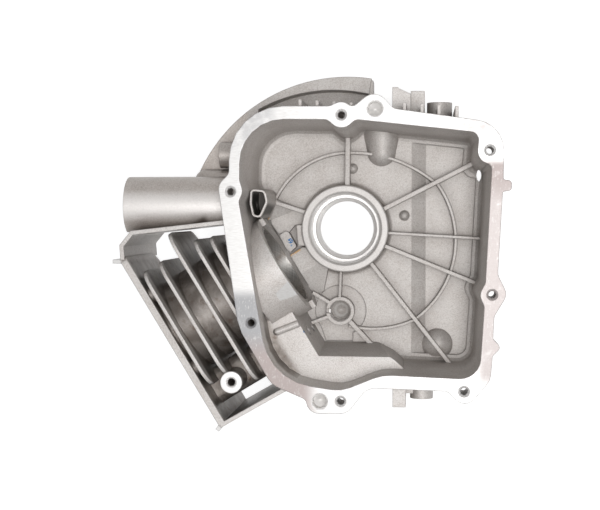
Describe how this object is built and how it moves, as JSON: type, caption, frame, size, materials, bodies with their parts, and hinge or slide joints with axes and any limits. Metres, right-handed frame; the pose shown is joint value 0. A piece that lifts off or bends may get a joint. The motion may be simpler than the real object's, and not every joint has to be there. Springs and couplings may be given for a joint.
{
  "type": "engine block",
  "caption": "Die-cast engine block with an open ribbed crankcase, a finned cylinder barrel with an iron liner, a cooling shroud and a round side chamber.",
  "frame": {"origin": "on the crankshaft axis, at the mouth of the main bearing seat", "axes": "+Z along the crankshaft axis, out of the open side of the crankcase; +X away from the cylinder side; the cylinder points to -X and -Y, 31.4 degrees from -X"},
  "size_m": [0.2847, 0.2604, 0.112],
  "materials": {
    "cast_aluminium": "blasted casting, machined faces",
    "liner_iron": "honed"
  },
  "bodies": {
    "root": {"crankcase_casting": "cast_aluminium", "cylinder_liner": "liner_iron"}
  },
  "joints": []
}
